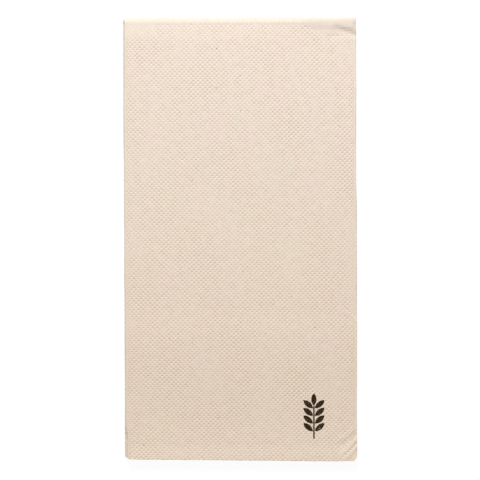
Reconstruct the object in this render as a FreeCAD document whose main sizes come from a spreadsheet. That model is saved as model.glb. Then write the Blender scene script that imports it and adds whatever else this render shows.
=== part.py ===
import FreeCAD, Part
import math
import os

import Sketcher

# Paper napkin, lying flat as it is sold.
# One tissue sheet is folded in half lengthwise, in half lengthwise again, and then
# in half across. The result is a panel of eight layers: four in the lower leg and
# four in the upper leg, joined by the rounded cross fold.
# Frame: X is the width, Y the length with the cross fold at +Y, Z is up.
# The origin is under the middle of the panel, on the surface that it lies on.

# Driving dimensions, in millimetres and degrees
SIZES = [
    ("overall_width", "101", "side fold to side fold"),
    ("overall_length", "191.2", "cross fold to the longest point of the cut end"),
    ("sheet_thickness", "0.3", "one layer of two-ply tissue"),
    ("layer_gap", "0.15", "air between two layers of a leg"),
    ("fold_gap", "1.2", "opening inside the rounded cross fold"),
    ("pressed_gap", "0.6", "air between the two legs where they lie flat"),
    ("settle_length", "80", "cross fold to where the upper leg lies level"),
    ("settle_radius", "4000", "bend where the upper leg becomes level"),
    ("first_edge_inset", "0.4", "first cut edge, in from the right side"),
    ("second_edge_inset", "0.7", "second cut edge, in from the right side"),
    ("upper_trim_left", "1.6", "upper leg short of the full length, left side"),
    ("lower_trim_left", "1.3", "lower leg short of the full length, left side"),
    ("lower_trim_right", "2.2", "lower leg short of the full length, right side"),
    ("end_slant", "15", "slant of the stacked cut ends, degrees"),
    ("corner_width", "2.2", "turned corner of the top layer, along X"),
    ("corner_length", "3.5", "turned corner of the top layer, along Y"),
    ("cut_margin", "2", "how far a cutting shape passes the paper"),
    ("sprig_inset", "19", "stem of the print, in from the right side"),
    ("sprig_margin", "9.8", "foot of the print, up from the cut end"),
    ("ink_thickness", "0.03", "film of ink on the paper"),
    ("stem_length", "14", "foot of the stem to its top"),
    ("stem_width", "0.5", "stem across"),
    ("leaf_length", "5.2", "tip to tip of one leaf"),
    ("leaf_breadth", "2.1", "one leaf across"),
    ("leaf_angle", "50", "lean of a leaf from the stem, degrees"),
    ("leaf_clearance", "0.25", "bare paper between the stem and a leaf"),
    ("first_leaf_height", "3.2", "foot of the stem to the lowest leaves"),
    ("leaf_spacing", "3.3", "one leaf pair to the next"),
    ("leaf_pairs", "4", "number of leaf pairs"),
]

# Lengths that follow from the driving dimensions.
# A leg is four layers with the three gaps between them.
LEG = "(4 * sizes.sheet_thickness + 3 * sizes.layer_gap)"
UPPER_FACE = f"(2 * {LEG} + sizes.pressed_gap)"
LEG_SPLIT = f"({LEG} + sizes.pressed_gap / 2)"
HALF_WIDTH = "(sizes.overall_width / 2)"
HALF_LENGTH = "(sizes.overall_length / 2)"
WRAP_RADIUS = f"({LEG} / 2)"
SMALL_RADIUS = "(sizes.sheet_thickness + sizes.layer_gap / 2)"
FOLD_RADIUS = f"(({LEG} + sizes.fold_gap) / 2)"
FOLD_CENTRE = f"({HALF_LENGTH} - {LEG} - sizes.fold_gap / 2)"

# How a sketch names the two ends and the centre of an edge, its axes and its origin
START = 1
END = 2
CENTRE = 3
X_AXIS = -1
Y_AXIS = -2
ORIGIN = (X_AXIS, START)
QUARTER = math.pi / 2


def make_sizes(doc):
    """Fill the spreadsheet with the driving dimensions."""
    sheet = doc.addObject("Spreadsheet::Sheet", "sizes")
    for row, (name, number, note) in enumerate(SIZES, start=1):
        sheet.set(f"A{row}", name)
        sheet.set(f"B{row}", number)
        sheet.setAlias(f"B{row}", name)
        sheet.set(f"C{row}", note)
    doc.recompute()


def add_sketch(body, name, role, lift="0"):
    """Put a sketch on one of the body's origin planes, lifted along its normal."""
    sketch = body.newObject("Sketcher::SketchObject", name)
    plane = next(item for item in body.Origin.OriginFeatures if item.Role == role)
    sketch.AttachmentSupport = [(plane, "")]
    sketch.MapMode = "FlatFace"
    sketch.setExpression("AttachmentOffset.Base.z", lift)
    return sketch


def read(item, formula):
    """Work out a formula from the sheet's present values."""
    return float(item.evalExpression(formula))


def bind(sketch, name, formula, kind, *where):
    """Add a named dimension and bind it to the sheet."""
    dimension = Sketcher.Constraint(kind, *where, read(sketch, formula))
    sketch.renameConstraint(sketch.addConstraint(dimension), name)
    sketch.setExpression(f"Constraints.{name}", formula)


def join(sketch, kind, first, first_point, second, second_point):
    """Let two edges meet at a point, smoothly or at a corner."""
    sketch.addConstraint(Sketcher.Constraint(kind, first, first_point, second, second_point))


def line(sketch, x1, y1, x2, y2):
    ends = FreeCAD.Vector(x1, y1, 0), FreeCAD.Vector(x2, y2, 0)
    return sketch.addGeometry(Part.LineSegment(*ends))


def arc(sketch, x, y, radius, first_angle, last_angle):
    circle = Part.Circle(FreeCAD.Vector(x, y, 0), FreeCAD.Vector(0, 0, 1), radius)
    return sketch.addGeometry(Part.ArcOfCircle(circle, first_angle, last_angle))


def draw_leg_section(body):
    """Four layers of one leg, seen from the cut end: one ribbon folded three times.

    The outermost layer lies at the bottom. Its left side fold wraps the whole leg,
    its right side fold joins the next layer, and the two inner layers end at the
    right in the sheet's cut edges.
    """
    sketch = add_sketch(body, "leg_section", "XZ_Plane", HALF_LENGTH)
    paper = read(sketch, "sizes.sheet_thickness")
    half_width = read(sketch, HALF_WIDTH)
    wrap_radius = read(sketch, WRAP_RADIUS)
    small_radius = read(sketch, SMALL_RADIUS)
    inside_radius = read(sketch, "sizes.layer_gap / 2")
    left = wrap_radius - half_width
    right = half_width - small_radius
    first_edge = half_width - read(sketch, "sizes.first_edge_inset")
    second_edge = half_width - read(sketch, "sizes.second_edge_inset")

    def left_fold(radius):
        return arc(sketch, left, wrap_radius, radius, QUARTER, 3 * QUARTER)

    def right_fold(radius):
        return arc(sketch, right, small_radius, radius, -QUARTER, QUARTER)

    def level(x1, x2, height):
        face = line(sketch, x1, height, x2, height)
        sketch.addConstraint(Sketcher.Constraint("Horizontal", face))
        return face

    def cut_edge(x, bottom, top):
        edge = line(sketch, x, bottom, x, top)
        sketch.addConstraint(Sketcher.Constraint("Vertical", edge))
        return edge

    # Heights of the faces above the middle of the stack, which is the wrap's centre
    outer = wrap_radius
    under_outer = wrap_radius - paper
    layer_1_top = level(first_edge, left, wrap_radius + outer)
    wrap_outside = left_fold(outer)
    layer_4_bottom = level(left, right, wrap_radius - outer)
    turn_outside = right_fold(small_radius)
    layer_3_top = level(right, left, wrap_radius - inside_radius)
    inner_inside = left_fold(inside_radius)
    layer_2_bottom = level(left, second_edge, wrap_radius + inside_radius)
    second_cut = cut_edge(second_edge, wrap_radius + inside_radius, wrap_radius + small_radius)
    layer_2_top = level(second_edge, left, wrap_radius + small_radius)
    inner_outside = left_fold(small_radius)
    layer_3_bottom = level(left, right, wrap_radius - small_radius)
    turn_inside = right_fold(inside_radius)
    layer_4_top = level(right, left, wrap_radius - under_outer)
    wrap_inside = left_fold(under_outer)
    layer_1_bottom = level(left, first_edge, wrap_radius + under_outer)
    first_cut = cut_edge(first_edge, wrap_radius + under_outer, wrap_radius + outer)

    # Each edge in turn round the outline, with the point it is reached and left at.
    # An arc is stored turning left, so the folds taken the other way run END to START.
    outline = [
        (layer_1_top, START, END),
        (wrap_outside, START, END),
        (layer_4_bottom, START, END),
        (turn_outside, START, END),
        (layer_3_top, START, END),
        (inner_inside, END, START),
        (layer_2_bottom, START, END),
        (second_cut, START, END),
        (layer_2_top, START, END),
        (inner_outside, START, END),
        (layer_3_bottom, START, END),
        (turn_inside, END, START),
        (layer_4_top, START, END),
        (wrap_inside, END, START),
        (layer_1_bottom, START, END),
        (first_cut, START, END),
    ]
    for (edge, _, leave), (following, reach, _) in zip(outline, outline[1:] + outline[:1]):
        corner = first_cut in (edge, following) or second_cut in (edge, following)
        join(sketch, "Coincident" if corner else "Tangent", edge, leave, following, reach)
    for fold in (wrap_inside, inner_outside, inner_inside):
        join(sketch, "Coincident", wrap_outside, CENTRE, fold, CENTRE)
    join(sketch, "Coincident", turn_outside, CENTRE, turn_inside, CENTRE)

    sketch.addConstraint(Sketcher.Constraint("PointOnObject", layer_4_bottom, START, X_AXIS))
    bind(sketch, "left_fold", f"{WRAP_RADIUS} - {HALF_WIDTH}",
         "DistanceX", *ORIGIN, wrap_outside, CENTRE)
    bind(sketch, "right_fold", f"{HALF_WIDTH} - {SMALL_RADIUS}",
         "DistanceX", *ORIGIN, turn_outside, CENTRE)
    bind(sketch, "first_edge", f"{HALF_WIDTH} - sizes.first_edge_inset",
         "DistanceX", *ORIGIN, first_cut, START)
    bind(sketch, "second_edge", f"{HALF_WIDTH} - sizes.second_edge_inset",
         "DistanceX", *ORIGIN, second_cut, START)
    bind(sketch, "layer", "sizes.sheet_thickness", "DistanceY", first_cut, START, first_cut, END)
    bind(sketch, "inner_fold_radius", "sizes.layer_gap / 2", "Radius", inner_inside)
    bind(sketch, "right_fold_radius", "sizes.layer_gap / 2", "Radius", turn_inside)
    return sketch


def draw_fold_path(body):
    """Middle of the leg, from the cut end round the cross fold and back."""
    sketch = add_sketch(body, "fold_path", "YZ_Plane")
    far = read(sketch, HALF_LENGTH)
    low = read(sketch, f"{LEG} / 2")
    high = read(sketch, f"{UPPER_FACE} - {LEG} / 2")
    radius = read(sketch, FOLD_RADIUS)
    centre = read(sketch, FOLD_CENTRE)
    level_at = far - read(sketch, "sizes.settle_length")
    settle_radius = read(sketch, "sizes.settle_radius")

    # The upper leg leaves the fold at a slope that brings it down to the level
    # stretch: run * slope - settle_radius * slope ^ 2 / 2 = drop.
    drop = low + 2 * radius - high
    run = centre - level_at
    slope = (run - math.sqrt(max(run ** 2 - 2 * settle_radius * drop, 0))) / settle_radius
    bend = settle_radius * slope

    lower_leg = line(sketch, -far, low, centre, low)
    cross_fold = arc(sketch, centre, low + radius, radius, -QUARTER, QUARTER + slope)
    sloping = line(
        sketch, centre, low + 2 * radius, level_at + bend, high + bend * slope / 2)
    settling = arc(
        sketch, level_at, high + settle_radius, settle_radius, -QUARTER, -QUARTER + slope)
    upper_leg = line(sketch, level_at, high, -far, high)

    sketch.addConstraint(Sketcher.Constraint("Horizontal", lower_leg))
    sketch.addConstraint(Sketcher.Constraint("Horizontal", upper_leg))
    join(sketch, "Tangent", lower_leg, END, cross_fold, START)
    join(sketch, "Tangent", cross_fold, END, sloping, START)
    join(sketch, "Tangent", sloping, END, settling, END)
    join(sketch, "Tangent", settling, START, upper_leg, START)

    bind(sketch, "start_place", f"-{HALF_LENGTH}", "DistanceX", *ORIGIN, lower_leg, START)
    bind(sketch, "start_height", f"{LEG} / 2", "DistanceY", *ORIGIN, lower_leg, START)
    bind(sketch, "fold_place", FOLD_CENTRE, "DistanceX", *ORIGIN, cross_fold, CENTRE)
    bind(sketch, "fold_radius", FOLD_RADIUS, "Radius", cross_fold)
    bind(sketch, "settle_radius", "sizes.settle_radius", "Radius", settling)
    bind(sketch, "level_place", f"{HALF_LENGTH} - sizes.settle_length",
         "DistanceX", *ORIGIN, upper_leg, START)
    bind(sketch, "level_height", f"{UPPER_FACE} - {LEG} / 2",
         "DistanceY", *ORIGIN, upper_leg, START)
    bind(sketch, "end_place", f"-{HALF_LENGTH}", "DistanceX", *ORIGIN, upper_leg, END)
    return sketch


def cut_away(body, name, lift, corners, upwards, depth, slant="0 deg"):
    """Cut off what lies inside a straight-sided outline, and make sure it was cut."""
    before = body.Shape.Volume
    sketch = add_sketch(body, f"{name}_outline", "XY_Plane", lift)
    places = [(read(sketch, x), read(sketch, y)) for x, y in corners]
    sides = [line(sketch, *near, *far) for near, far in zip(places, places[1:] + places[:1])]
    for side, following in zip(sides, sides[1:] + sides[:1]):
        join(sketch, "Coincident", side, END, following, START)
    for number, (side, (x, y)) in enumerate(zip(sides, corners), start=1):
        bind(sketch, f"corner_{number}_x", x, "DistanceX", *ORIGIN, side, START)
        bind(sketch, f"corner_{number}_y", y, "DistanceY", *ORIGIN, side, START)
    pocket = body.newObject("PartDesign::Pocket", name)
    pocket.Profile = sketch
    pocket.Type = "Length"
    pocket.Reversed = upwards
    pocket.setExpression("Length", depth)
    pocket.setExpression("TaperAngle", slant)
    body.Document.recompute()
    if body.Shape.Volume >= before:
        raise RuntimeError(f"{name} cut nothing")


def cut_end(body, name, left_trim, right_trim, upwards):
    """Trim one leg's stacked cut ends, askew by the difference of the two trims.

    The cut starts between the legs and slants, because the outer layers of the
    stack take more paper to go round the cross fold and so end sooner.
    """
    # The cutting line runs on past both sides of the paper by the margin.
    run_on = f"({left_trim} - {right_trim}) * sizes.cut_margin / sizes.overall_width"
    left = f"-{HALF_WIDTH} - sizes.cut_margin"
    right = f"{HALF_WIDTH} + sizes.cut_margin"
    beyond = f"-{HALF_LENGTH} - 2 * sizes.cut_margin"
    corners = [
        (left, beyond),
        (right, beyond),
        (right, f"{right_trim} - {HALF_LENGTH} - {run_on}"),
        (left, f"{left_trim} - {HALF_LENGTH} + {run_on}"),
    ]
    depth = f"{LEG} + sizes.fold_gap + sizes.cut_margin"
    cut_away(body, name, LEG_SPLIT, corners, upwards, depth, "sizes.end_slant * 1 deg")


def cut_turned_corner(body):
    """End the top layer on a diagonal, where its open corner is turned under."""
    layer_end = f"({LEG_SPLIT} * tan(sizes.end_slant * 1 deg) - {HALF_LENGTH})"
    # A triangle whose long side passes both ends of the diagonal by its own length
    corners = [
        (f"{HALF_WIDTH} - 2 * sizes.corner_width", f"{layer_end} - sizes.corner_length"),
        (f"{HALF_WIDTH} + sizes.corner_width", f"{layer_end} - sizes.corner_length"),
        (f"{HALF_WIDTH} + sizes.corner_width", f"{layer_end} + 2 * sizes.corner_length"),
    ]
    cut_away(body, "turned_corner", f"{UPPER_FACE} + sizes.cut_margin", corners, False,
             f"sizes.cut_margin + {SMALL_RADIUS}")


def make_napkin(doc):
    """The folded sheet: one ribbon section carried round the cross fold."""
    body = doc.addObject("PartDesign::Body", "napkin")
    section = draw_leg_section(body)
    path = draw_fold_path(body)
    sheet = body.newObject("PartDesign::AdditivePipe", "folded_sheet")
    sheet.Profile = section
    sheet.Spine = path
    doc.recompute()
    cut_end(body, "upper_end", "sizes.upper_trim_left", "0", True)
    cut_end(body, "lower_end", "sizes.lower_trim_left", "sizes.lower_trim_right", False)
    cut_turned_corner(body)
    return body


def add_side_leaf(sketch, name, side, foot_height):
    """One leaf that leans out from beside the stem, to the left (-1) or right (1)."""
    foot_x = f"{side} * (sizes.stem_width / 2 + sizes.leaf_clearance)"
    tip_x = f"{foot_x} + {side} * sizes.leaf_length * sin(sizes.leaf_angle * 1 deg)"
    tip_y = f"{foot_height} + sizes.leaf_length * cos(sizes.leaf_angle * 1 deg)"
    add_leaf(sketch, name, (foot_x, foot_height), (tip_x, tip_y))


def add_leaf(sketch, name, foot, tip):
    """A pointed leaf: two equal arcs from foot to tip, half a leaf to either side."""
    bulge = "(sizes.leaf_length ^ 2 / (4 * sizes.leaf_breadth) + sizes.leaf_breadth / 4)"
    foot_place = FreeCAD.Vector(read(sketch, foot[0]), read(sketch, foot[1]), 0)
    tip_place = FreeCAD.Vector(read(sketch, tip[0]), read(sketch, tip[1]), 0)
    along = tip_place - foot_place
    across = FreeCAD.Vector(-along.y, along.x, 0).normalize() * read(
        sketch, "sizes.leaf_breadth / 2")
    middle = (foot_place + tip_place) / 2
    left_arc = sketch.addGeometry(Part.Arc(foot_place, middle + across, tip_place))
    right_arc = sketch.addGeometry(Part.Arc(foot_place, middle - across, tip_place))
    # An arc is stored turning left, so the right one runs from foot to tip.
    join(sketch, "Coincident", left_arc, START, right_arc, END)
    join(sketch, "Coincident", left_arc, END, right_arc, START)
    bind(sketch, f"{name}_foot_x", foot[0], "DistanceX", *ORIGIN, right_arc, START)
    bind(sketch, f"{name}_foot_y", foot[1], "DistanceY", *ORIGIN, right_arc, START)
    bind(sketch, f"{name}_tip_x", tip[0], "DistanceX", *ORIGIN, right_arc, END)
    bind(sketch, f"{name}_tip_y", tip[1], "DistanceY", *ORIGIN, right_arc, END)
    bind(sketch, f"{name}_left_radius", bulge, "Radius", left_arc)
    bind(sketch, f"{name}_right_radius", bulge, "Radius", right_arc)


def add_stem(sketch):
    """A straight stroke with round ends, up the middle of the print."""
    half = read(sketch, "sizes.stem_width / 2")
    top = read(sketch, "sizes.stem_length")
    left_side = line(sketch, -half, top - half, -half, half)
    foot = arc(sketch, 0, half, half, 2 * QUARTER, 4 * QUARTER)
    right_side = line(sketch, half, half, half, top - half)
    head = arc(sketch, 0, top - half, half, 0, 2 * QUARTER)
    join(sketch, "Tangent", left_side, END, foot, START)
    join(sketch, "Tangent", foot, END, right_side, START)
    join(sketch, "Tangent", right_side, END, head, START)
    join(sketch, "Tangent", head, END, left_side, START)
    sketch.addConstraint(Sketcher.Constraint("Vertical", left_side))
    sketch.addConstraint(Sketcher.Constraint("PointOnObject", foot, CENTRE, Y_AXIS))
    bind(sketch, "stem_radius", "sizes.stem_width / 2", "Radius", foot)
    bind(sketch, "stem_foot", "sizes.stem_width / 2", "DistanceY", *ORIGIN, foot, CENTRE)
    bind(sketch, "stem_run", "sizes.stem_length - sizes.stem_width",
         "DistanceY", foot, CENTRE, head, CENTRE)


def make_printed_sprig(doc):
    """A film of ink on the upper face: a stem with leaf pairs and one top leaf."""
    body = doc.addObject("PartDesign::Body", "printed_sprig")
    body.setExpression("Placement.Base.x", f"{HALF_WIDTH} - sizes.sprig_inset")
    body.setExpression("Placement.Base.y", f"sizes.sprig_margin - {HALF_LENGTH}")
    body.setExpression("Placement.Base.z", UPPER_FACE)
    sketch = add_sketch(body, "sprig_outline", "XY_Plane")
    add_stem(sketch)
    for pair in range(round(read(sketch, "sizes.leaf_pairs"))):
        height = f"(sizes.first_leaf_height + {pair} * sizes.leaf_spacing)"
        add_side_leaf(sketch, f"left_{pair + 1}", -1, height)
        add_side_leaf(sketch, f"right_{pair + 1}", 1, height)
    top_foot = "(sizes.stem_length + sizes.leaf_clearance)"
    add_leaf(sketch, "top", ("0", top_foot), ("0", f"{top_foot} + sizes.leaf_length"))
    ink = body.newObject("PartDesign::Pad", "ink_film")
    ink.Profile = sketch
    ink.setExpression("Length", "sizes.ink_thickness")
    doc.recompute()
    return body


def check_model(doc, bodies):
    """Stop if anything failed to build."""
    for item in doc.Objects:
        if "Invalid" in item.State or "Error" in item.State:
            raise RuntimeError(f"{item.Label} failed: {item.State}")
    for body in bodies:
        if body.Shape.isNull() or not body.Shape.isValid():
            raise RuntimeError(f"{body.Label} has no valid shape")


def main():
    doc = FreeCAD.newDocument("paper_napkin")
    make_sizes(doc)
    bodies = [make_napkin(doc), make_printed_sprig(doc)]
    doc.recompute()
    check_model(doc, bodies)
    os.makedirs("parts", exist_ok=True)
    for body in bodies:
        body.Shape.exportStep(f"parts/{body.Label}.step")
        print(body.Label, len(body.Shape.Solids), "solids", round(body.Shape.Volume, 3), "mm3")


main()
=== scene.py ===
import math

import bmesh
import bpy
import numpy as np
from mathutils import Matrix, Vector


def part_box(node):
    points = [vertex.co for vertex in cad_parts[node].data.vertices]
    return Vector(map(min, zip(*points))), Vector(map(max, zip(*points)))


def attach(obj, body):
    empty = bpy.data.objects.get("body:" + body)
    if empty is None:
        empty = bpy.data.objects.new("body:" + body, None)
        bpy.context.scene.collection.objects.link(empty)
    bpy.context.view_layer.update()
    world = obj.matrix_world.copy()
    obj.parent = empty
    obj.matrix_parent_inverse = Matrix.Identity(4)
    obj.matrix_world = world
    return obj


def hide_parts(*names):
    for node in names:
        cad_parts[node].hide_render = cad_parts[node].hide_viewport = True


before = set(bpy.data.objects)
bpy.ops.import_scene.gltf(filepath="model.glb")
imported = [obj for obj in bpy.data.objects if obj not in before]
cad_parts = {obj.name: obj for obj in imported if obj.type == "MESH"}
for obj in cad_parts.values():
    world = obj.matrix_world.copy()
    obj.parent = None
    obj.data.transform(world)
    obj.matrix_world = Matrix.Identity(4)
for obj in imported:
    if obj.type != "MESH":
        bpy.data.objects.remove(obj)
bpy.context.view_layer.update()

# The sheet's lengths are in millimetres, and a mesh is scaled to metres as it is made.
# FLAT_SIZE, the textures, the floor, the light and the camera are in metres.
MM = 0.001

LOW, HIGH = (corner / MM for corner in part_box("napkin"))

# The sheet and its folding; the insets are how far its long cut edges stand in from the right side
SHEET = 0.3
LAYER_GAP = 0.15
LEG_LAYERS = 4
FIRST_EDGE_INSET = 0.4
SECOND_EDGE_INSET = 0.7
LEVEL_HEIGHT = 3.9
LEVEL_UNTIL = 15.6

PITCH = SHEET + LAYER_GAP
WRAP_RADIUS = (LEG_LAYERS - 1) * PITCH / 2
SMALL_RADIUS = PITCH / 2
LEFT_FOLD_X = LOW.x + WRAP_RADIUS + SHEET / 2
RIGHT_FOLD_X = HIGH.x - SMALL_RADIUS - SHEET / 2
FOLD_RADIUS = HIGH.z / 2
FOLD_Y = HIGH.y - FOLD_RADIUS
FOLD_ARC = math.pi * FOLD_RADIUS

# A smooth rise is given below by its start and width, and by its height where it has one.
# Waves are given by their height, wavelength and seed.

# Random fields: how many waves each adds up, and how far their lengths differ, as shares
FIELD_WAVES = 7
FIELD_SPREAD = (0.7, 1.5)

# Cut ends: outer face at the left and right side, and how far each deeper layer reaches past it
UPPER_END = (-94.5, -95.75)
LOWER_END = (-94.1, -93.9)
END_LEAN = 0.08
RAGGED_WAVES = ((0.09, 7.0, 11), (0.05, 1.7, 12))

# The corners that are worn round, as the width and length of the rounding
RIGHT_CORNER = (2.2, 3.2)
LEFT_CORNER = (0.9, 1.0)
LOWER_SHORTER = 0.3

# How far the gaps between the layers open: inside the panel, and more at its sides and open end
OPENING = 0.10
INSIDE_OPENING = 0.25
EDGE_OPENING = 0.6
OPENING_SIDE_RISE = (30.0, 20.0)
OPENING_END_RISE = (70.0, 24.0)
OPENING_WAVELENGTH = 34.0
OPENING_SEED = 21
MOST_OPENING = 1.4

# Height of the upper face towards the open end
SWELL = 0.30
SWELL_RISE = (29.0, 14.0)
SWELL_FALL = (46.0, 30.0)
SPRING_RISES = ((76.0, 22.0, 0.70), (88.0, 8.0, 0.50))

# Embossing: pits on a staggered lattice, which leave the sides and the fold plain
PIT_HALF_X = 1.0
PIT_HALF_Y = 0.965
PIT_DEPTH = 0.20
PIT_WAVES = ((0.26, 5.0, 31), (0.18, 26.0, 32))
PIT_LIMITS = (0.3, 1.35)
PLAIN_SIDE = 0.3
SIDE_RISE = 1.2
PLAIN_FOLD = 2.2
FOLD_RISE = 1.5

# Where the embossing is pressed flat: the far left corner, the sag and the near right corner
FLAT_LEFT = 0.7
FLAT_LEFT_Y = (84.0, 5.0)
FLAT_LEFT_X = (33.0, 6.0)
FLAT_SAG = 0.85
FLAT_SAG_Y = 92.2
FLAT_SAG_DROP = 4.4
FLAT_SAG_BEND = (26.0, 9.0)
FLAT_SAG_FADE = 1.2
FLAT_SAG_X = (24.0, 3.0)
FLAT_CORNER = 0.7
FLAT_CORNER_SIZE = 14.0
FLAT_CORNER_FADE = 8.0

# How far below the top layer a dent still moves the others
YIELD_DEPTH = 2.1

# The groove just behind the fold, and the sag behind that, which starts later and returns more
# slowly at the right side
GROOVE_DEPTH = 0.03
GROOVE_DOWN = 0.5
GROOVE_WIDTH = 0.7
GROOVE_X = (5.0, 20.0)
SAG_RISES = ((22.0, 12.0, 0.36), (36.0, 8.0, 0.38))
SAG_ASIDE = (30.0, 20.0)
SAG_START_ASIDE = 1.3
SAG_WIDTH, SAG_WIDTH_ASIDE = 3.0, 0.8
SAG_RETURN, SAG_RETURN_ASIDE = 16.0, 60.0

# Each crease: where its line starts and ends, and its waves as offset to the right, width and height
INNER_CREASE = ((42.9, -88.5), (49.1, -84.2), ((-1.7, 1.1, 0.14), (0.6, 1.1, -0.22)))
OUTER_CREASE = ((43.7, -91.6), (50.6, -85.2), ((0.7, 0.9, 0.31), (1.9, 0.7, -0.18), (3.0, 0.8, 0.38)))
DENT = ((41.5, 91.0), (50.0, 88.0), ((0.0, 1.3, -0.37), (3.0, 3.5, -0.06)))
FAINT_WAVES = ((0.0, 0.9, -0.10),)
FAINT_CREASE = ((30.0, 91.0), (37.5, 87.8), FAINT_WAVES)
SECOND_FAINT_CREASE = ((40.5, 87.6), (47.0, 87.4), FAINT_WAVES)
NICK = ((44.6, -30.6), (49.6, -34.4), ((-0.9, 0.7, -0.08), (0.1, 0.6, 0.14)))
CREASES = (INNER_CREASE, OUTER_CREASE, DENT, FAINT_CREASE, SECOND_FAINT_CREASE, NICK)

# How far past its line a crease reaches, and over what length it fades in and out
CREASE_PAST = 3.0
CREASE_FADE_IN = 4.0
CREASE_FADE_OUT = 2.0

# How far the side folds stand in: all over, more on the upper leg, scalloped by the pits, and wavy
SIDE_BAND = 3.0
SIDE_FADE = 2.4
LEFT_SIDE = dict(inset=0.20, upper_inset=0.36, scallops=0.10, waves=0.09, wavelength=30.0, seed=42)
RIGHT_SIDE = dict(inset=0.26, upper_inset=0.16, scallops=0.05, waves=0.08, wavelength=26.0, seed=43)
SCALLOP_WAVELENGTH = 9.0
SCALLOP_SEED = 41
LEGS_APART = 40.0
LEFT_NEAR_RISES = ((80.0, 5.0, 0.65),)
LEFT_FAR_RISES = ((58.0, 10.0, 0.32),)
RIGHT_FAR_RISES = ((-5.0, 35.0, 0.26),)

# Notches in the right side: place, width and depth
NOTCH = (91.5, 1.6, 0.22)
UPPER_NOTCH = (88.9, 0.7, 0.30)

# How far the outer layers sink at the open end of the roll, at the far right corner
DROP = 0.60
DROP_X = (48.7, 1.9)
DROP_Y = (88.5, 4.0)
DROP_ROUND = 1.6

# Roundness of the roll: the power is 1 for a round one and less for a squarer one
ROLL_POWER = 1.02
ROLL_MIDDLE_X, ROLL_MIDDLE_WIDTH, ROLL_MIDDLE_POWER = 4.0, 17.0, 0.06
ROLL_RIGHT_X = (22.0, 10.0)
ROLL_RIGHT_POWER = 0.35
ROLL_WAVES = ((0.08, 26.0, 44),)

# Heights are stretched by these shares in waves and at the open end, and shrunk before the fold,
# except at the right side
LIFT_WAVES = ((0.035, 70.0, 51),)
LIFT_RISES = ((60.0, 35.0, 0.04),)
SINK_RISES = ((85.0, 8.5, 0.07), (90.5, 3.0, 0.02))
SINK_END_X = (8.0, 16.0)

# The two faces of the sheet; the outside of the folded panel is all face A
FACE_A, FACE_B = 1, -1

# Mesh steps; those of a lengthwise fold are for face A and face B
COARSE_ROWS = 2
FOLD_STEPS = 16
END_SETTLE = 60.0
CORNER_SETTLE = 8.0
RUN_STEPS = 12
WRAP_STEPS = (9, 5)
RIGHT_STEPS = (7, 3)
INNER_STEPS = (3, 6)
COLUMN_MARGIN = 0.3
SHARP_ANGLE = math.radians(50)
TINY = 1e-6


def smooth_step(value):
    """Zero below 0, one above 1 and a smooth rise between."""
    value = np.clip(value, 0.0, 1.0)
    return value * value * (3 - 2 * value)


def rise(value, start, width):
    """A smooth rise from 0 at the start to 1 at the width past it."""
    return smooth_step((value - start) / width)


def graded(value, rises):
    """The sum of rises, each with its own height."""
    return sum(height * rise(value, start, width) for start, width, height in rises)


def hump(distance, width):
    """One at no distance, falling off smoothly over about the width."""
    return np.exp(-np.square(distance / width))


def wander(x, y, wavelength, seed):
    """A smooth random field, mostly between -1 and 1, with waves of about one length."""
    draw = np.random.default_rng(seed)
    total = np.zeros(np.broadcast(x, y).shape)
    for _ in range(FIELD_WAVES):
        heading = draw.uniform(0, 2 * math.pi)
        count = 2 * math.pi / (wavelength * draw.uniform(*FIELD_SPREAD))
        phase = draw.uniform(0, 2 * math.pi)
        total = total + np.cos(count * (x * math.cos(heading) + y * math.sin(heading)) + phase)
    return total / math.sqrt(FIELD_WAVES)


def uneven(x, y, waves):
    """The sum of random fields, each with its own height."""
    return sum(height * wander(x, y, wavelength, seed) for height, wavelength, seed in waves)


def run(start_x, end_x, depth, lean):
    """A flat stretch of the sheet in the cross-section; lean is which way face A looks."""
    def at(share):
        return start_x + (end_x - start_x) * share, depth, 0.0, lean
    return abs(end_x - start_x), at


def turn(centre_x, radius, start, end, lean):
    """A half turn of the sheet about a fold in the cross-section, from one depth to another."""
    middle = (start + end) / 2
    side = -1.0 if centre_x < 0 else 1.0
    way = 1.0 if end > start else -1.0

    def at(share):
        angle = (share - 0.5) * math.pi * way
        out_x, out_depth = side * math.cos(angle), math.sin(angle)
        return centre_x + radius * out_x, middle + radius * out_depth, lean * out_x, lean * out_depth
    return math.pi * radius, at


def even(steps):
    """Shares of a stretch in even steps."""
    return [number / steps for number in range(steps + 1)]


def lattice_shares(start_x, end_x):
    """Shares of the top run that put its columns on the rows of pits, with one more before the last."""
    first = math.ceil((start_x + COLUMN_MARGIN) / PIT_HALF_X)
    last = math.floor(end_x / PIT_HALF_X)
    inner = np.arange(first, last + 1) * PIT_HALF_X
    places = [start_x, *inner[:-1], inner[-1] - PIT_HALF_X / 2, inner[-1], end_x]
    return [(place - start_x) / (end_x - start_x) for place in places]


def plain_run(start_x, end_x, depth, lean):
    """A run with the same even steps on both faces."""
    return run(start_x, end_x, depth, lean), even(RUN_STEPS), even(RUN_STEPS)


def plain_turn(centre_x, radius, start, end, lean, steps):
    """A half turn with its own count of even steps on each face."""
    return turn(centre_x, radius, start, end, lean), even(steps[0]), even(steps[1])


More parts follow.
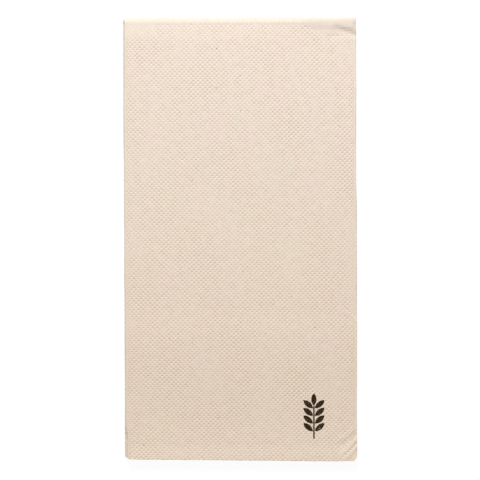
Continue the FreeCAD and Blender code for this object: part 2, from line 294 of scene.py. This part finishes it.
# The cross-section from the first cut edge to the second: each stretch and its shares on both faces
DEPTH_1, DEPTH_2, DEPTH_3, DEPTH_4 = (SHEET / 2 + number * PITCH for number in range(LEG_LAYERS))
STRETCHES = [
    plain_run(HIGH.x - FIRST_EDGE_INSET, LEFT_FOLD_X, DEPTH_4, 1.0),
    plain_turn(LEFT_FOLD_X, WRAP_RADIUS, DEPTH_4, DEPTH_1, 1.0, WRAP_STEPS),
    (run(LEFT_FOLD_X, RIGHT_FOLD_X, DEPTH_1, -1.0),
     lattice_shares(LEFT_FOLD_X, RIGHT_FOLD_X), even(RUN_STEPS)),
    plain_turn(RIGHT_FOLD_X, SMALL_RADIUS, DEPTH_1, DEPTH_2, 1.0, RIGHT_STEPS),
    plain_run(RIGHT_FOLD_X, LEFT_FOLD_X, DEPTH_2, 1.0),
    plain_turn(LEFT_FOLD_X, SMALL_RADIUS, DEPTH_2, DEPTH_3, -1.0, INNER_STEPS),
    plain_run(LEFT_FOLD_X, HIGH.x - SECOND_EDGE_INSET, DEPTH_3, -1.0),
]

# The stretches whose face A is the outside, which has a row at every half pitch
FINE_STRETCHES = (1, 2, 3)


def section_columns(face):
    """Columns of one face of the sheet: place along the sheet, x, depth, and whether its rows are fine."""
    columns = []
    start = 0.0
    reach = face * SHEET / 2
    for number, ((length, at), shares_a, shares_b) in enumerate(STRETCHES):
        shares = shares_a if face == FACE_A else shares_b
        fine = face == FACE_A and number in FINE_STRETCHES
        for share in shares:
            x, depth, lean_x, lean_depth = at(share)
            place = start + share * length
            column = (place, x + reach * lean_x, depth + reach * lean_depth, fine)
            if columns and abs(columns[-1][0] - place) < TINY:
                column = (*column[:3], fine or columns[-1][3])
                columns.pop()
            columns.append(column)
        start += length
    return columns


def leg_steps(ends):
    """How many half pitches of the lattice a leg takes, as an even number."""
    return 2 * round((FOLD_Y - sum(ends) / 2) / PIT_HALF_Y / 2)


def path_rows():
    """Places along the outer face, from the lower cut end round the fold to the upper one, each with
    whether coarse columns have it too."""
    lower = [-number * PIT_HALF_Y for number in range(leg_steps(LOWER_END), 0, -1)]
    fold = [FOLD_ARC * number / FOLD_STEPS for number in range(FOLD_STEPS + 1)]
    upper = [FOLD_ARC + number * PIT_HALF_Y for number in range(1, leg_steps(UPPER_END) + 1)]
    return [(place, number % COARSE_ROWS == 0) for number, place in enumerate(lower + fold + upper)]


def cut_end(ends, x, depth, place):
    """Where a leg of the panel is cut off, over its width, its layers and its rough edge."""
    share = (x - LOW.x) / (HIGH.x - LOW.x)
    return ends[0] + (ends[1] - ends[0]) * share - END_LEAN * depth + uneven(place, 0.0, RAGGED_WAVES)


def corner_end(x, depth, plain_end, upper):
    """The end of a layer with the open corners worn round; the lower leg stays a little shorter."""
    level = -END_LEAN * depth + (0.0 if upper else LOWER_SHORTER)
    corners = ((x - HIGH.x, UPPER_END[1], RIGHT_CORNER), (LOW.x - x, UPPER_END[0], LEFT_CORNER))
    for out_x, end, (width, length) in corners:
        share = np.clip((out_x + width) / width, 0, 1)
        rounded = end + length * (1 - math.sqrt(1 - share * share)) + level
        plain_end = np.where(share > 0, np.maximum(plain_end, rounded), plain_end)
    return plain_end


def trimmed(distance, full_length, length, settle):
    """Distances from the fold, with the last few drawn in or out to end at the cut."""
    start = full_length - settle
    beyond = np.clip(distance - start, 0, None)
    return np.where(distance > start, start + beyond * (length - start) / settle, distance)


def flat_places(x, depth, place, rows):
    """The y of the rows of a column, as on flat legs that end at the cut."""
    plain_end = cut_end(UPPER_END, x, depth, place)
    upper_length = FOLD_Y - plain_end
    corner_length = FOLD_Y - corner_end(x, depth, plain_end, True)
    lower_length = FOLD_Y - corner_end(x, depth, cut_end(LOWER_END, x, depth, place), False)
    lower = trimmed(np.clip(-rows, 0, None), -rows[0], lower_length, END_SETTLE)
    upper = trimmed(np.clip(rows - FOLD_ARC, 0, None), rows[-1] - FOLD_ARC, upper_length, END_SETTLE)
    upper = trimmed(upper, upper_length, corner_length, CORNER_SETTLE)
    return FOLD_Y - np.where(rows < 0, lower, upper)


def layer_opening(depth, x, y):
    """How much the gaps between the layers open, as an added depth."""
    sides = EDGE_OPENING * rise(np.abs(x), *OPENING_SIDE_RISE)
    edge = sides + EDGE_OPENING * rise(-y, *OPENING_END_RISE)
    added = np.zeros(np.broadcast(depth, x, y).shape)
    for number in range(LEG_LAYERS - 1):
        field = 0.5 + 0.5 * wander(x, y, OPENING_WAVELENGTH, OPENING_SEED + number)
        gap_start = SHEET + number * PITCH
        share = np.clip((depth - gap_start) / LAYER_GAP, 0, 1)
        added = added + OPENING * np.clip(field, 0, MOST_OPENING) * (INSIDE_OPENING + edge) * share
    return added


def top_height(y):
    """The upper face over its length: it climbs to the fold ever more steeply, swells a little below the
    middle and springs up at the open end."""
    half_step = (y - LEVEL_UNTIL) / (FOLD_Y - LEVEL_UNTIL) / 2
    climb = 2 * smooth_step(half_step)
    swell = SWELL * (rise(-y, *SWELL_RISE) - rise(-y, *SWELL_FALL))
    return LEVEL_HEIGHT + (HIGH.z - LEVEL_HEIGHT) * climb + swell + graded(-y, SPRING_RISES)


def pit_rows(rows):
    """Number of half pitches from the fold to each row, and whether the row is off the fold."""
    lower, upper = -rows / PIT_HALF_Y, (rows - FOLD_ARC) / PIT_HALF_Y
    return np.round(np.where(rows < 0, lower, upper)).astype(int), (rows < 0) | (rows > FOLD_ARC)


def kept_relief(x, y):
    """The share of the embossing that is left where the paper is pressed flat."""
    left = rise(y, *FLAT_LEFT_Y) * rise(-x, *FLAT_LEFT_X)
    sag_from = FLAT_SAG_Y - FLAT_SAG_DROP * rise(x, *FLAT_SAG_BEND)
    slack = rise(y, sag_from, FLAT_SAG_FADE) * rise(x, *FLAT_SAG_X)
    corner = rise(x - HIGH.x - y + LOW.y, -FLAT_CORNER_SIZE, FLAT_CORNER_FADE)
    return (1 - FLAT_LEFT * left) * (1 - FLAT_SAG * slack) * (1 - FLAT_CORNER * corner)


def emboss(x, y, rows):
    """How deep each point of a column lies in a pit, as a share of PIT_DEPTH."""
    numbers, off_fold = pit_rows(rows)
    pits = off_fold & ((numbers + round(x / PIT_HALF_X)) % 2 == 0)
    sides = rise(HIGH.x - np.abs(x), PLAIN_SIDE, SIDE_RISE)
    fold = rise(HIGH.y - y, PLAIN_FOLD, FOLD_RISE)
    strength = np.clip(1 + uneven(x, y, PIT_WAVES), *PIT_LIMITS)
    return pits * sides * fold * kept_relief(x, y) * strength


def crease(x, y, start, end, waves):
    """Added heights of the waves of a crease along a line between two points."""
    start, end = np.array(start), np.array(end)
    length = np.linalg.norm(end - start)
    along = (end - start) / length
    reach = (x - start[0]) * along[0] + (y - start[1]) * along[1]
    offset = (x - start[0]) * along[1] - (y - start[1]) * along[0]
    fade_in = rise(reach, -CREASE_PAST, CREASE_FADE_IN)
    fade_out = rise(length - reach, -CREASE_PAST, CREASE_FADE_OUT)
    return sum(height * hump(offset - shift, width) for shift, width, height in waves) * fade_in * fade_out


def sag(x, down):
    """How deep the slack paper behind the fold lies; down is the distance from the fold."""
    aside = rise(x, *SAG_ASIDE)
    beyond = down - SAG_START_ASIDE * aside
    width = SAG_WIDTH + SAG_WIDTH_ASIDE * aside
    back = SAG_RETURN + SAG_RETURN_ASIDE * aside
    return graded(x, SAG_RISES) * rise(beyond, 0, width) * (1 - rise(beyond, width, back))


def pressed_marks(x, y):
    """The groove, the sag and the creases in the top of the panel, as added heights."""
    down = FOLD_Y - y
    groove = GROOVE_DEPTH * hump(down - GROOVE_DOWN, GROOVE_WIDTH) * rise(x, *GROOVE_X)
    creases = sum(crease(x, y, *line) for line in CREASES)
    return creases - groove - sag(x, down)


def side_inset(y, over, side):
    """How far a side fold stands in all along; over is 0 on the lower leg and 1 on the upper."""
    scallop = np.cos(math.pi * y / PIT_HALF_Y + wander(y, 0.0, SCALLOP_WAVELENGTH, SCALLOP_SEED))
    wavy = side["waves"] * wander(y, LEGS_APART * over, side["wavelength"], side["seed"])
    return side["inset"] + side["upper_inset"] * over + side["scallops"] * scallop + wavy


def notch(y, place, width, depth):
    """How far a short notch stands in."""
    return depth * hump(y - place, width)


def edge_shift(x, y, over):
    """How far points near the side folds move in, as a shift in x; over is as in side_inset."""
    near_left = smooth_step((LOW.x + SIDE_BAND - x) / SIDE_FADE)
    near_right = smooth_step((x - HIGH.x + SIDE_BAND) / SIDE_FADE)
    left = side_inset(y, over, LEFT_SIDE)
    left = left + over * (graded(-y, LEFT_NEAR_RISES) + graded(y, LEFT_FAR_RISES))
    right = side_inset(y, over, RIGHT_SIDE) + graded(y, RIGHT_FAR_RISES)
    right = right + notch(y, *NOTCH) + notch(y, *UPPER_NOTCH) * over
    return near_left * left - near_right * right


def end_drop(x, y, rows):
    """How far the outer layers sink at the far right corner; it grows round the roll to the upper leg."""
    return DROP * rise(x, *DROP_X) * rise(y, *DROP_Y) * smooth_step(DROP_ROUND * rows / FOLD_ARC)


def roll_outward(x, rows):
    """How far out of the roll each row stands, in y and in z, as shares of its radius."""
    angle = np.clip(rows, 0, FOLD_ARC) / FOLD_RADIUS - math.pi / 2
    middle = ROLL_MIDDLE_POWER * hump(x - ROLL_MIDDLE_X, ROLL_MIDDLE_WIDTH)
    power = ROLL_POWER + middle - ROLL_RIGHT_POWER * rise(x, *ROLL_RIGHT_X)
    return [np.sign(way) * np.abs(way) ** power for way in (np.cos(angle), np.sin(angle))]


def lift(x, y):
    """By what factor a point stands higher or lower than on an even panel."""
    raised = 1 + uneven(x, y, LIFT_WAVES) + graded(-y, LIFT_RISES)
    return raised - graded(y, SINK_RISES) * (1 - rise(x, *SINK_END_X))


def sheet_points(x, depth, place, rows, embossed):
    """Points of one column of the mesh, in millimetres, and how deep each lies in a pit."""
    is_lower, is_upper = rows < 0, rows > FOLD_ARC
    flat_y = flat_places(x, depth, place, rows)
    yielding = smooth_step((SHEET + YIELD_DEPTH - depth) / YIELD_DEPTH)
    pit_share = emboss(x, flat_y, rows) if embossed else np.zeros_like(rows)
    opened = depth + layer_opening(depth, x, flat_y)
    opened = opened + PIT_DEPTH * pit_share + end_drop(x, flat_y, rows) * yielding
    out_y, out_z = roll_outward(x, rows)
    roll_y = FOLD_Y + (FOLD_RADIUS - opened) * out_y + uneven(x, 0.0, ROLL_WAVES) * out_y
    roll_z = FOLD_RADIUS + (FOLD_RADIUS - opened) * out_z
    upper_z = top_height(flat_y) - opened + pressed_marks(x, flat_y) * yielding
    y = np.where(is_lower | is_upper, flat_y, roll_y)
    z = np.where(is_lower, opened, np.where(is_upper, upper_z, roll_z))
    shift = edge_shift(x, flat_y, smooth_step(rows / FOLD_ARC))
    return np.column_stack([x + shift, y, z * lift(x, y)]), pit_share


class SheetMesh:
    """Vertices and faces of the folded sheet, gathered column by column."""

    def __init__(self):
        self.points, self.pits, self.faces, self.smooth = [], [], [], []
        self.count = 0
        self.pit_corners = set()

    def add_column(self, column, rows, face):
        """Adds a column and returns its place, its line of (place, vertex) pairs, and whether it is
        embossed."""
        place, x, depth, fine = column
        places = np.array([row for row, coarse in rows if fine or coarse])
        embossed = face == FACE_A and depth < TINY
        points, pits = sheet_points(x, depth, place, places, embossed)
        self.points.append(points)
        self.pits.append(pits)
        first = self.count
        self.count += len(places)
        if embossed:
            numbers, _ = pit_rows(places)
            odd = (numbers + round(x / PIT_HALF_X)) % 2
            self.pit_corners.update(first + int(number) for number in np.flatnonzero(odd == 0))
        return place, [(row, first + number) for number, row in enumerate(places)], embossed

    def add_face(self, corners, smooth=True):
        self.faces.append(corners)
        self.smooth.append(smooth)

    def join_embossed(self, first, second):
        """Flat facets between two columns of the embossed face, creased from one high point to the next."""
        for (_, a), (_, b), (_, c), (_, d) in zip(first, first[1:], second[1:], second):
            if a in self.pit_corners:
                self.add_face((a, b, d), False)
                self.add_face((b, c, d), False)
            else:
                self.add_face((a, b, c), False)
                self.add_face((a, c, d), False)

    def join_lines(self, first, second):
        """Faces between two lines of (place, vertex) pairs that run the same way."""
        if len(first) == len(second):
            for (_, a), (_, b), (_, c), (_, d) in zip(first, first[1:], second[1:], second):
                self.add_face((a, b, c, d))
            return
        i = j = 0
        while i < len(first) - 1 or j < len(second) - 1:
            first_done, second_done = i == len(first) - 1, j == len(second) - 1
            if second_done or (not first_done and first[i + 1][0] <= second[j + 1][0] + TINY):
                self.add_face((first[i][1], first[i + 1][1], second[j][1]))
                i += 1
            else:
                self.add_face((first[i][1], second[j + 1][1], second[j][1]))
                j += 1

    def make(self, name):
        """The mesh in metres, with the depth in a pit as an attribute of its points."""
        mesh = bpy.data.meshes.new(name)
        mesh.from_pydata(np.concatenate(self.points) * MM, [], self.faces)
        pits = mesh.attributes.new("pit", "FLOAT", "POINT")
        pits.data.foreach_set("value", np.concatenate(self.pits).astype(np.float32))
        shaped = bmesh.new()
        shaped.from_mesh(mesh)
        bmesh.ops.recalc_face_normals(shaped, faces=shaped.faces)
        shaped.to_mesh(mesh)
        shaped.free()
        mesh.set_sharp_from_angle(angle=SHARP_ANGLE)
        mesh.polygons.foreach_set("use_smooth", self.smooth)
        return mesh


def link_object(name, data):
    """A new object in the scene."""
    made = bpy.data.objects.new(name, data)
    bpy.context.scene.collection.objects.link(made)
    return made


def make_folded_sheet():
    """The whole napkin as one closed sheet, folded twice lengthwise and once across."""
    rows = path_rows()
    sheet = SheetMesh()
    lines = {}
    for face in (FACE_A, FACE_B):
        lines[face] = [sheet.add_column(column, rows, face) for column in section_columns(face)]
        for (_, first, first_embossed), (_, second, second_embossed) in zip(lines[face], lines[face][1:]):
            if first_embossed and second_embossed:
                sheet.join_embossed(first, second)
            else:
                sheet.join_lines(first, second)
    for edge in (0, -1):
        sheet.join_lines(lines[FACE_A][edge][1], lines[FACE_B][edge][1])
        ends = [[(place, line[edge][1]) for place, line, _ in lines[face]] for face in (FACE_A, FACE_B)]
        sheet.join_lines(*ends)
    return link_object("folded_sheet", sheet.make("folded_sheet"))


# The ink film: how far it spreads, its longest edge after some rounds of cutting, and how far its
# faces lie above and below the paper, which is found from a height
INK_SPREAD = 0.07
INK_EDGE = 0.4
INK_ROUNDS = 5
INK_ABOVE = 0.075
INK_BELOW = 0.02
RAY_HEIGHT = 20.0


def spread_outline(film, distance):
    """Moves the outline of a flat film outwards, as ink spreads into the tissue."""
    moves = {}
    for edge in film.edges:
        if not edge.is_boundary:
            continue
        along = edge.verts[1].co - edge.verts[0].co
        outward = Vector((along.y, -along.x, 0)).normalized()
        if outward.dot(edge.link_faces[0].calc_center_median() - edge.verts[0].co) > 0:
            outward = -outward
        for vert in edge.verts:
            moves[vert] = moves.get(vert, Vector()) + outward
    for vert, move in moves.items():
        vert.co += move.normalized() * distance


def ink_outline():
    """The upper face of the printed sprig, spread a little and cut into small triangles."""
    film = bmesh.new()
    film.from_mesh(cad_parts["printed_sprig"].data)
    bmesh.ops.remove_doubles(film, verts=film.verts, dist=TINY)
    _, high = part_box("printed_sprig")
    lower = [face for face in film.faces if face.calc_center_median().z < high.z - TINY]
    bmesh.ops.delete(film, geom=lower, context="FACES")
    bmesh.ops.triangulate(film, faces=film.faces)
    spread_outline(film, INK_SPREAD * MM)
    for _ in range(INK_ROUNDS):
        long_edges = [edge for edge in film.edges if edge.calc_length() > INK_EDGE * MM]
        bmesh.ops.subdivide_edges(film, edges=long_edges, cuts=1)
        bmesh.ops.triangulate(film, faces=film.faces)
    return film


def lay_on(napkin, verts, height):
    """Moves points of the film straight up or down to a height above the paper."""
    surface = napkin.evaluated_get(bpy.context.evaluated_depsgraph_get())
    for vert in verts:
        above = Vector((vert.co.x, vert.co.y, RAY_HEIGHT * MM))
        _, place, _, _ = surface.ray_cast(above, Vector((0, 0, -1)))
        vert.co.z = place.z + height * MM


def fix_order(elements):
    """Sorts edges or faces by their points, because an extrusion gives them in any order."""
    ranked = sorted(elements, key=lambda item: sorted(vert.index for vert in item.verts))
    places = {item: place for place, item in enumerate(ranked)}
    elements.sort(key=places.get)


def make_sprig(napkin):
    """The printed sprig as a closed film of ink that follows the embossed paper."""
    film = ink_outline()
    film.normal_update()
    raised = bmesh.ops.extrude_face_region(film, geom=film.faces[:])
    top = {item for item in raised["geom"] if isinstance(item, bmesh.types.BMVert)}
    lay_on(napkin, top, INK_ABOVE)
    lay_on(napkin, [vert for vert in film.verts if vert not in top], -INK_BELOW)
    film.verts.index_update()
    fix_order(film.edges)
    fix_order(film.faces)
    bmesh.ops.recalc_face_normals(film, faces=film.faces)
    mesh = bpy.data.meshes.new("ink_sprig")
    film.to_mesh(mesh)
    film.free()
    return link_object("ink_sprig", mesh)


class Nodes:
    """Short calls for building the node tree of a material or a world."""

    def __init__(self, owner):
        self.owner = owner
        owner.use_nodes = True
        self.tree = owner.node_tree
        self.tree.nodes.clear()

    def add(self, kind, settings=None, **inputs):
        """A new node; an input is named with _ for a space, or as n and its number."""
        node = self.tree.nodes.new(kind)
        for key, value in (settings or {}).items():
            setattr(node, key, value)
        for key, value in inputs.items():
            self.put(node, key.replace("_", " "), value)
        return node

    def put(self, node, key, value):
        """Links or sets one input."""
        numbered = key[0] == "n" and key[1:].isdigit()
        socket = node.inputs[int(key[1:])] if numbered else node.inputs[key]
        if isinstance(value, bpy.types.NodeSocket):
            self.tree.links.new(value, socket)
        else:
            socket.default_value = value

    def math(self, operation, first, second):
        return self.add("ShaderNodeMath", {"operation": operation}, n0=first, n1=second).outputs[0]

    def ramp(self, value, low, high, out_low=0.0, out_high=1.0):
        node = self.add("ShaderNodeMapRange", {"interpolation_type": "SMOOTHSTEP"}, Value=value,
                        From_Min=low, From_Max=high, To_Min=out_low, To_Max=out_high)
        return node.outputs["Result"]

    def mix(self, share, first, second, blend="MIX"):
        """A mix of two colours, which are inputs 6 and 7 and output 2 of the node."""
        node = self.add("ShaderNodeMix", {"data_type": "RGBA", "blend_type": blend})
        self.put(node, "n0", share)
        self.put(node, "n6", first)
        self.put(node, "n7", second)
        return node.outputs[2]

    def coordinates(self):
        return self.add("ShaderNodeTexCoord").outputs["Object"]

    def noise(self, coordinates, scale, detail=2.0, roughness=0.5):
        """A noise whose scale is a number of waves in a metre."""
        return self.add("ShaderNodeTexNoise", Vector=coordinates, Scale=scale, Detail=detail,
                        Roughness=roughness).outputs["Fac"]

    def seen(self):
        """One for what the camera sees, also in mirrors and through glass, and 0 for light on things."""
        path = self.add("ShaderNodeLightPath").outputs
        mirrored = self.math("MAXIMUM", path["Is Glossy Ray"], path["Is Transmission Ray"])
        return self.math("MAXIMUM", path["Is Camera Ray"], mirrored)


def linear(red, green, blue):
    """A colour given in screen values from 0 to 255, as a shader takes it, by the sRGB formula."""
    def one(value):
        value /= 255
        return value / 12.92 if value <= 0.04045 else ((value + 0.055) / 1.055) ** 2.4
    return one(red), one(green), one(blue), 1.0


# Colours of the paper, and how much of their own the pits take on, which is partly the paper's own colour
# and partly painted shade in the hollows
PALE_PAPER = linear(231, 214, 198)
YELLOW_PAPER = linear(229, 215, 196)
CLOUD_COLOUR = linear(221, 203, 182)
PALE_FIBRE = linear(242, 231, 217)
DARK_FIBRE = linear(206, 184, 158)
SPECK_COLOUR = linear(156, 112, 84)
PIT_COLOUR_AND_SHADE = linear(196, 174, 148)
PIT_TINT_AND_SHADE = 0.20

# Painted shade, as tones by which the colour is multiplied, and where along the napkin they come in:
# warmer towards the open end, where less of the cool lamp light falls, and greyer on the roll of the fold
# to damp its highlight
END_SHADE_TONE = (1.01, 0.985, 0.95, 1.0)
END_SHADE_ALONG = (-0.075, 0.09)
ROLL_SHADE = (0.95, 0.955, 0.945, 1.0)
ROLL_SHADE_ALONG = (0.0936, 0.0948)

# Textures of the paper: the limits are the noise values between which a texture comes in
PATCH_NOISE = dict(scale=95.0, detail=3.0)
PATCH_LIMITS = (0.35, 0.65)
CLOUD_NOISE = dict(scale=420.0, detail=4.0, roughness=0.6)
CLOUD_LIMITS = (0.3, 0.7)
CLOUD_STRENGTH = 0.35
FIBRE_STRENGTH = 0.5
FIBRES = (
    dict(angle=0.5, squeeze=0.16, scale=3600.0, limits=(0.52, 0.75), fibre_colour=PALE_FIBRE),
    dict(angle=-0.9, squeeze=0.14, scale=3000.0, limits=(0.56, 0.78), fibre_colour=DARK_FIBRE),
)
SPECK_BLUR = 1.8
SPECKS = (
    dict(scale=95.0, share=0.11, size=0.019, strength=0.60),
    dict(scale=330.0, share=0.03, size=0.050, strength=0.35),
)
GRAIN_NOISE = dict(scale=2600.0, detail=4.0, roughness=0.65)
GRAIN_LIMITS = (0.3, 0.7)
GRAIN_HEIGHT = 0.00005
PAPER_ROUGHNESS = (0.86, 0.98)


def add_fibres(nodes, coordinates, colour, angle, squeeze, scale, limits, fibre_colour):
    """Fibres that lie about one way, as a noise drawn out along it."""
    drawn_out = nodes.add("ShaderNodeMapping", Vector=coordinates, Rotation=(0.0, 0.0, angle),
                          Scale=(1.0, squeeze, 1.0)).outputs[0]
    fibres = nodes.noise(drawn_out, scale, detail=3.0, roughness=0.6)
    return nodes.mix(nodes.ramp(fibres, *limits, 0.0, FIBRE_STRENGTH), colour, fibre_colour)


def add_specks(nodes, coordinates, colour, scale, share, size, strength):
    """Scattered brown specks in a share of the cells of a Voronoi texture."""
    cells = nodes.add("ShaderNodeTexVoronoi", {"voronoi_dimensions": "2D"}, Vector=coordinates,
                      Scale=scale)
    near = nodes.ramp(cells.outputs["Distance"], size, size * SPECK_BLUR, 1.0, 0.0)
    draw = nodes.add("ShaderNodeSeparateColor", Color=cells.outputs["Color"]).outputs[0]
    chosen = nodes.math("LESS_THAN", draw, share)
    amount = nodes.math("MULTIPLY", nodes.math("MULTIPLY", near, chosen), strength)
    return nodes.mix(amount, colour, SPECK_COLOUR)


def paper_colour(nodes, coordinates):
    """Colour of unbleached tissue: cloudy patches, pale and dark fibres and brown specks; painted shade
    makes it a little warmer towards the open end and greyer on the roll of the fold."""
    patches = nodes.noise(coordinates, **PATCH_NOISE)
    colour = nodes.mix(nodes.ramp(patches, *PATCH_LIMITS), PALE_PAPER, YELLOW_PAPER)
    clouds = nodes.noise(coordinates, **CLOUD_NOISE)
    colour = nodes.mix(nodes.ramp(clouds, *CLOUD_LIMITS, 0.0, CLOUD_STRENGTH), colour, CLOUD_COLOUR)
    for fibres in FIBRES:
        colour = add_fibres(nodes, coordinates, colour, **fibres)
    for specks in SPECKS:
        colour = add_specks(nodes, coordinates, colour, **specks)
    along = nodes.add("ShaderNodeSeparateXYZ", Vector=coordinates).outputs["Y"]
    # Painted shade: warmer towards the open end, where less of the cool lamp light falls.
    shaded_end = nodes.mix(1.0, colour, END_SHADE_TONE, "MULTIPLY")
    colour = nodes.mix(nodes.ramp(along, *END_SHADE_ALONG), shaded_end, colour)
    # Painted shade: greyer on the roll of the fold, to damp its highlight.
    roll_shaded = nodes.mix(1.0, colour, ROLL_SHADE, "MULTIPLY")
    return nodes.mix(nodes.ramp(along, *ROLL_SHADE_ALONG), colour, roll_shaded)


def paper_material():
    """Matt tissue with a fine grain, a little darker in the pits of the embossing, partly as the paper's
    own colour and partly as painted shade.
    """
    nodes = Nodes(bpy.data.materials.new("napkin_paper"))
    coordinates = nodes.coordinates()
    pit = nodes.add("ShaderNodeAttribute", {"attribute_name": "pit"}).outputs["Fac"]
    # The pits are drawn darker: partly the paper's own colour, partly painted shade in the hollows.
    pit_tint_and_shade = nodes.math("MULTIPLY", pit, PIT_TINT_AND_SHADE)
    colour = nodes.mix(pit_tint_and_shade, paper_colour(nodes, coordinates), PIT_COLOUR_AND_SHADE)
    grain = nodes.noise(coordinates, **GRAIN_NOISE)
    bump = nodes.add("ShaderNodeBump", Height=grain, Strength=0.35, Distance=GRAIN_HEIGHT)
    roughness = nodes.ramp(grain, *GRAIN_LIMITS, *PAPER_ROUGHNESS)
    shader = nodes.add("ShaderNodeBsdfPrincipled", Base_Color=colour, Roughness=roughness,
                       Normal=bump.outputs[0], Specular_IOR_Level=0.3, Sheen_Weight=0.25,
                       Sheen_Roughness=0.45)
    nodes.add("ShaderNodeOutputMaterial", Surface=shader.outputs[0])
    return nodes.owner


# The ink, and the bare paper that shows through it
DARK_INK = linear(30, 18, 4)
PALE_INK = linear(54, 38, 17)
INK_NOISE = dict(scale=700.0, detail=3.0)
BARE_COLOUR = linear(206, 186, 160)
BARE_NOISE = dict(scale=2300.0, detail=3.0, roughness=0.6)
BARE_LIMITS = (0.60, 0.72)
BARE_STRENGTH = 0.75
INK_HEIGHT = 0.00004


def ink_material():
    """Matt dark brown ink that leaves small light specks where the paper is rough."""
    nodes = Nodes(bpy.data.materials.new("printed_ink"))
    coordinates = nodes.coordinates()
    colour = nodes.mix(nodes.noise(coordinates, **INK_NOISE), DARK_INK, PALE_INK)
    bare = nodes.noise(coordinates, **BARE_NOISE)
    colour = nodes.mix(nodes.ramp(bare, *BARE_LIMITS, 0.0, BARE_STRENGTH), colour, BARE_COLOUR)
    bump = nodes.add("ShaderNodeBump", Height=bare, Strength=0.3, Distance=INK_HEIGHT)
    shader = nodes.add("ShaderNodeBsdfPrincipled", Base_Color=colour, Normal=bump.outputs[0],
                       Roughness=0.85, Specular_IOR_Level=0.15)
    nodes.add("ShaderNodeOutputMaterial", Surface=shader.outputs[0])
    return nodes.owner


def grey(value):
    """A grey by its linear value."""
    return value, value, value, 1.0


# The floor: half its width, how far it lies below the napkin, and its white as glow and shade
FLOOR_HALF = 3.0
FLOOR_BELOW = 0.00005
FLOOR_LIGHT, FLOOR_LIGHTER = grey(0.80), grey(0.82)
FLOOR_PATCHES = 3.0
FLOOR_GLOW = 0.94
FLOOR_SHADE = grey(0.08)
WHITE = grey(1.0)


def floor_material():
    """A white floor that shows white to the camera and still takes the shadow of the napkin."""
    nodes = Nodes(bpy.data.materials.new("white_floor"))
    tone = nodes.noise(nodes.coordinates(), FLOOR_PATCHES)
    matt = nodes.add("ShaderNodeBsdfDiffuse", Color=nodes.mix(tone, FLOOR_LIGHT, FLOOR_LIGHTER))
    seen = nodes.seen()
    glow = nodes.add("ShaderNodeEmission", Color=WHITE, Strength=nodes.math("MULTIPLY", seen, FLOOR_GLOW))
    shade = nodes.add("ShaderNodeBsdfDiffuse", Color=FLOOR_SHADE)
    surface = nodes.add("ShaderNodeMixShader", n0=seen, n1=matt.outputs[0], n2=shade.outputs[0])
    total = nodes.add("ShaderNodeAddShader", n0=surface.outputs[0], n1=glow.outputs[0])
    nodes.add("ShaderNodeOutputMaterial", Surface=total.outputs[0])
    return nodes.owner


def make_floor():
    """A square floor just below the napkin."""
    sides = ((-1, -1), (1, -1), (1, 1), (-1, 1))
    corners = [(x * FLOOR_HALF, y * FLOOR_HALF, -FLOOR_BELOW) for x, y in sides]
    mesh = bpy.data.meshes.new("floor")
    mesh.from_pydata(corners, [], [(0, 1, 2, 3)])
    mesh.materials.append(floor_material())
    floor = link_object("floor", mesh)


FILL_COLOUR = (1.0, 0.975, 0.90, 1.0)
FILL_STRENGTH = 0.39


def make_world():
    """Soft light from all round, which is white where the camera sees it."""
    world = bpy.data.worlds.new("studio")
    bpy.context.scene.world = world
    nodes = Nodes(world)
    fill = nodes.add("ShaderNodeBackground", Color=FILL_COLOUR, Strength=FILL_STRENGTH)
    white = nodes.add("ShaderNodeBackground", Color=WHITE)
    mixed = nodes.add("ShaderNodeMixShader", n0=nodes.seen(), n1=fill.outputs[0], n2=white.outputs[0])
    nodes.add("ShaderNodeOutputWorld", Surface=mixed.outputs[0])


KEY_POWER = 9.0
KEY_PLACE = Vector((-0.07, 0.68, 0.69))
KEY_SIZE = 0.35
KEY_COLOUR = (0.965, 1.0, 1.095)


def make_key_light():
    """One broad lamp beyond the far end, aimed at the middle of the napkin."""
    lamp = bpy.data.lights.new("key", "AREA")
    lamp.energy = KEY_POWER
    lamp.size = KEY_SIZE
    lamp.color = KEY_COLOUR
    key = link_object("key", lamp)
    key.location = KEY_PLACE
    key.rotation_euler = (-KEY_PLACE).to_track_quat("-Z", "Y").to_euler()


# The camera, and the width that its picture shows at the target
CAMERA_DISTANCE = 1.0
CAMERA_TILT = math.radians(2.4)
CAMERA_ROLL = math.radians(-0.17)
CAMERA_TARGET = Vector((-0.0002, 0.00005, 0.004))
PICTURE_WIDTH = 0.20667
SENSOR = 36.0


def make_camera():
    """Nearly straight above, leaning a little from the side of the cross fold."""
    lens = bpy.data.cameras.new("camera")
    lens.sensor_width = SENSOR
    lens.lens = SENSOR * CAMERA_DISTANCE / PICTURE_WIDTH
    camera = link_object("camera", lens)
    turned = Matrix.Rotation(-CAMERA_TILT, 4, "X") @ Matrix.Rotation(CAMERA_ROLL, 4, "Z")
    back = turned @ Vector((0, 0, CAMERA_DISTANCE))
    camera.matrix_world = Matrix.Translation(CAMERA_TARGET + back) @ turned
    bpy.context.scene.camera = camera


napkin = make_folded_sheet()
napkin.data.materials.append(paper_material())
bpy.context.view_layer.update()
sprig = make_sprig(napkin)
sprig.data.materials.append(ink_material())

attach(napkin, "root")
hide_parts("napkin")
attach(sprig, "root")
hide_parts("printed_sprig")

make_floor()
make_world()
make_key_light()
make_camera()
bpy.context.scene.view_settings.view_transform = "Standard"
